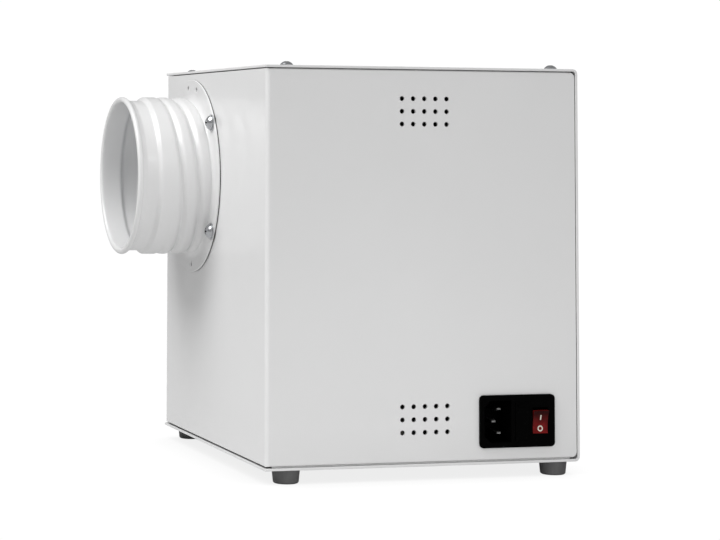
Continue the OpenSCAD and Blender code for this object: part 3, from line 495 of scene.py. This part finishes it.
def flange_cutters():
    """Four screw holes and three drain holes, as one mesh of short bars through the flange."""
    holes = [(screw_circle(), a, SCREW_HOLE_R) for a in SCREW_ANGLES]
    holes += [(DRAIN_CIRCLE_R, a, DRAIN_HOLE_R) for a in DRAIN_ANGLES]
    work = bmesh.new()
    for radius, degrees, hole_r in holes:
        angle = math.radians(degrees)
        spot = Vector((WALL_X - FLANGE_FRONT, AXIS.y - radius * math.cos(angle),
                       AXIS.z + radius * math.sin(angle)))
        turn = Matrix.Translation(spot) @ Matrix.Rotation(math.pi / 2, 4, "Y")
        bmesh.ops.create_cone(work, cap_ends=True, segments=HOLE_STEPS, radius1=hole_r,
                              radius2=hole_r, depth=CUTTER_LENGTH, matrix=turn)
    mesh = bpy.data.meshes.new("cutters")
    work.to_mesh(mesh)
    work.free()
    cutter = bpy.data.objects.new("cutters", mesh)
    bpy.context.scene.collection.objects.link(cutter)
    return cutter


def screw_circle():
    low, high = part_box("collar_washers")
    return math.hypot((high.y - low.y) / 2 - WASHER_R, (high.z - low.z) / 2 - WASHER_R)


def bmesh_clean(mesh):
    work = bmesh.new()
    work.from_mesh(mesh)
    bmesh.ops.remove_doubles(work, verts=work.verts, dist=0.001 * MM)
    bmesh.ops.recalc_face_normals(work, faces=work.faces)
    work.to_mesh(mesh)
    work.free()


make_collar()


# ---------- marks let into the rocker ----------

ROCKER = next(j for j in RECORD["behaviour"]["joints"] if j["name"] == "rocker_tilt")
ROCKER_TILT = math.radians(ROCKER["range_deg"][1] / 2)
DISH_DEPTH_AT_AXIS = 3.0 * MM
DISH_RISE = 1.3 * MM
ROCKER_END = 6.8 * MM
DISH_R = (ROCKER_END ** 2 + DISH_RISE ** 2) / (2 * DISH_RISE)
MARK_FLOOR = 2.86 * MM
PROUD = 0.03 * MM
BAR_HALF_WIDTH = 0.38 * MM
BAR_LOW = 0.92 * MM
BAR_HIGH = 3.98 * MM
BAR_CUTS = 8
RING_AT = -4.1 * MM
RING_OUTER_R = 1.68 * MM
RING_INNER_R = 1.02 * MM
RING_STEPS = 48


def rocker_point(x, out, up):
    """A point of the rocker: x across from its middle, out of the panel, up the panel."""
    place = Vector(ROCKER["pos_m"])
    turned_y = -out * math.cos(ROCKER_TILT) - up * math.sin(ROCKER_TILT)
    turned_z = -out * math.sin(ROCKER_TILT) + up * math.cos(ROCKER_TILT)
    return (place.x + x, place.y + turned_y, place.z + turned_z)


def dish_out(up):
    return DISH_DEPTH_AT_AXIS + DISH_R - math.sqrt(DISH_R ** 2 - up ** 2) + PROUD


def make_bar_mark():
    levels = [BAR_LOW + (BAR_HIGH - BAR_LOW) * i / BAR_CUTS for i in range(BAR_CUTS + 1)]
    rings = []
    for x in (-BAR_HALF_WIDTH, BAR_HALF_WIDTH):
        bottom = [rocker_point(x, MARK_FLOOR, up) for up in levels]
        top = [rocker_point(x, dish_out(up), up) for up in levels]
        rings.append((bottom, top))
    work = bmesh.new()
    (left_bottom, left_top), (right_bottom, right_top) = [
        [[work.verts.new(p) for p in row] for row in pair] for pair in rings]
    for i in range(BAR_CUTS):
        work.faces.new((left_bottom[i], left_bottom[i + 1], right_bottom[i + 1], right_bottom[i]))
        work.faces.new((left_top[i], right_top[i], right_top[i + 1], left_top[i + 1]))
        work.faces.new((left_bottom[i], left_top[i], left_top[i + 1], left_bottom[i + 1]))
        work.faces.new((right_bottom[i], right_bottom[i + 1], right_top[i + 1], right_top[i]))
    for i in (0, BAR_CUTS):
        work.faces.new((left_bottom[i], right_bottom[i], right_top[i], left_top[i]))
    bmesh.ops.recalc_face_normals(work, faces=work.faces)
    mesh = bpy.data.meshes.new("rocker_mark_on")
    work.to_mesh(mesh)
    work.free()
    smooth(mesh)
    new_piece("rocker_mark_on", mesh, "ivory_plastic", "rocker_body")


def make_ring_mark():
    corners = ((RING_OUTER_R, False), (RING_OUTER_R, True), (RING_INNER_R, True), (RING_INNER_R, False))
    rings = []
    for radius, raised in corners:
        ring = []
        for k in range(RING_STEPS):
            angle = 2 * math.pi * k / RING_STEPS
            up = RING_AT + radius * math.sin(angle)
            out = dish_out(up) if raised else MARK_FLOOR
            ring.append(rocker_point(radius * math.cos(angle), out, up))
        rings.append(ring)
    mesh = ring_mesh("rocker_mark_off", rings)
    bmesh_clean(mesh)
    smooth(mesh)
    new_piece("rocker_mark_off", mesh, "ivory_plastic", "rocker_body")


make_bar_mark()
make_ring_mark()


# ---------- floor, light and camera ----------

BACKDROP = 1.02
ROOM_LIGHT = 0.36
FLOOR_HALF = 20.0
FLOOR_DROP = 0.05 * MM
# Painted contact shadow on the floor: how far it reaches, where it fades out and how dark it gets.
CONTACT_SHADOW_REACH = 0.05
CONTACT_SHADOW_CLEAR = 0.9
CONTACT_SHADOW_DARKEST = 0.82
FLOOR_LIT = (0.6, 0.6, 0.6, 1.0)
WHITE = (1.0, 1.0, 1.0, 1.0)
BLACK = (0.0, 0.0, 0.0, 1.0)
CAMERA_PLACE = Vector((-500.7, -1317.05, 198.5)) * MM
CAMERA_YAW = -0.2526
CAMERA_PITCH = 0.0659
CAMERA_ROLL = 0.007
CAMERA_LENS = 110.525
CAMERA_SENSOR = 36.0
LENS_SHIFT = {"shift_x": 0.3395, "shift_y": -0.3895}
CAMERA_SLACK = 0.0001


def floor_material():
    graph = Graph("floor")
    # Painted contact shadow: camera rays see a white glow darkened near the extractor by ambient occlusion;
    # other rays see a grey diffuse floor.
    shade = graph.spread(graph.openness(CONTACT_SHADOW_REACH), 0.0, CONTACT_SHADOW_CLEAR, CONTACT_SHADOW_DARKEST, 1.0)
    shown = graph.node("ShaderNodeEmission")
    graph.link(graph.blend(shade, BLACK, WHITE), shown.inputs["Color"])
    graph.link(BACKDROP, shown.inputs["Strength"])
    lit = graph.node("ShaderNodeBsdfDiffuse")
    graph.link(FLOOR_LIT, lit.inputs["Color"])
    path = graph.node("ShaderNodeLightPath")
    mixed = graph.node("ShaderNodeMixShader")
    graph.link(path.outputs["Is Camera Ray"], mixed.inputs[0])
    graph.link(lit.outputs[0], mixed.inputs[1])
    graph.link(shown.outputs[0], mixed.inputs[2])
    clear = graph.node("ShaderNodeBsdfTransparent")
    whole = graph.node("ShaderNodeMixShader")
    graph.link(graph.node("ShaderNodeNewGeometry").outputs["Backfacing"], whole.inputs[0])
    graph.link(mixed.outputs[0], whole.inputs[1])
    graph.link(clear.outputs[0], whole.inputs[2])
    graph.link(whole.outputs[0], graph.output.inputs["Surface"])
    return graph.material


def make_floor():
    half = FLOOR_HALF
    corners = [(-half, -half, 0), (half, -half, 0), (half, half, 0), (-half, half, 0)]
    mesh = bpy.data.meshes.new("floor")
    mesh.from_pydata(corners, [], [(0, 1, 2, 3)])
    floor = bpy.data.objects.new("floor", mesh)
    bpy.context.scene.collection.objects.link(floor)
    floor.location.z = cad_low.z - FLOOR_DROP
    mesh.materials.append(floor_material())


def make_world():
    world = bpy.data.worlds.new("studio")
    bpy.context.scene.world = world
    world.use_nodes = True
    tree = world.node_tree
    tree.nodes.clear()
    output = tree.nodes.new("ShaderNodeOutputWorld")
    shown = tree.nodes.new("ShaderNodeBackground")
    shown.inputs["Color"].default_value = WHITE
    shown.inputs["Strength"].default_value = BACKDROP
    room = tree.nodes.new("ShaderNodeBackground")
    room.inputs["Color"].default_value = WHITE
    room.inputs["Strength"].default_value = ROOM_LIGHT
    path = tree.nodes.new("ShaderNodeLightPath")
    mixed = tree.nodes.new("ShaderNodeMixShader")
    tree.links.new(path.outputs["Is Camera Ray"], mixed.inputs[0])
    tree.links.new(room.outputs[0], mixed.inputs[1])
    tree.links.new(shown.outputs[0], mixed.inputs[2])
    tree.links.new(mixed.outputs[0], output.inputs["Surface"])


def soft_light(name, place, aim, width, height, power, mirrored=True):
    data = bpy.data.lights.new(name, "AREA")
    data.shape = "RECTANGLE"
    data.size = width
    data.size_y = height
    data.energy = power
    lamp = bpy.data.objects.new(name, data)
    lamp.location = place
    lamp.visible_glossy = mirrored
    lamp.rotation_mode = "QUATERNION"
    lamp.rotation_quaternion = (Vector(aim) - Vector(place)).to_track_quat("-Z", "Y")
    bpy.context.scene.collection.objects.link(lamp)


def make_camera():
    """The photograph's viewpoint. The picture is cropped off-centre, so the lens is shifted there."""
    box_low, box_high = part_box("outer_cover")
    place = CAMERA_PLACE + Vector((box_low.x + box_high.x, box_low.y + box_high.y, 0.0)) / 2
    yaw, pitch, roll = CAMERA_YAW, CAMERA_PITCH, CAMERA_ROLL
    right = Vector((math.cos(yaw), math.sin(yaw), 0.0))
    ahead = Vector((-math.sin(yaw), math.cos(yaw), 0.0))
    up = Vector((0.0, 0.0, 1.0))
    look = ahead * math.cos(pitch) + up * math.sin(pitch)
    rise = up * math.cos(pitch) - ahead * math.sin(pitch)
    x_axis = right * math.cos(roll) + rise * math.sin(roll)
    y_axis = rise * math.cos(roll) - right * math.sin(roll)
    data = bpy.data.cameras.new("camera")
    data.sensor_width = CAMERA_SENSOR
    data.lens = CAMERA_LENS
    camera = bpy.data.objects.new("camera", data)
    bpy.context.scene.collection.objects.link(camera)
    turn = Matrix((x_axis, y_axis, -look)).transposed()
    camera.matrix_world = Matrix.Translation(place) @ turn.to_4x4()
    bpy.context.scene.camera = camera
    for channel, shift in LENS_SHIFT.items():
        driver = data.driver_add(channel).driver
        driver.type = "SCRIPTED"
        where = driver.variables.new()
        where.name = "y"
        where.type = "TRANSFORMS"
        where.targets[0].id = camera
        where.targets[0].transform_type = "LOC_Y"
        where.targets[0].transform_space = "WORLD_SPACE"
        driver.expression = f"{shift} if abs(y - {place.y:.6f}) < {CAMERA_SLACK} else 0.0"


make_floor()
make_world()
middle = (cad_low + cad_high) / 2
soft_light("left", (-1.15, -0.1, 1.6), middle, 1.3, 1.3, 29.0)
soft_light("front", (0.42, -1.75, 1.05), middle, 0.3, 0.22, 1.0)
soft_light("fill", (-0.1, -1.8, 0.6), middle, 0.9, 0.7, 5.0, mirrored=False)
soft_light("low", (0.02, -0.36, 0.015), (0.02, -0.1, 0.03), 0.3, 0.02, 0.12, mirrored=False)
make_camera()
scene = bpy.context.scene
scene.view_settings.view_transform = "Standard"
scene.view_settings.look = "None"
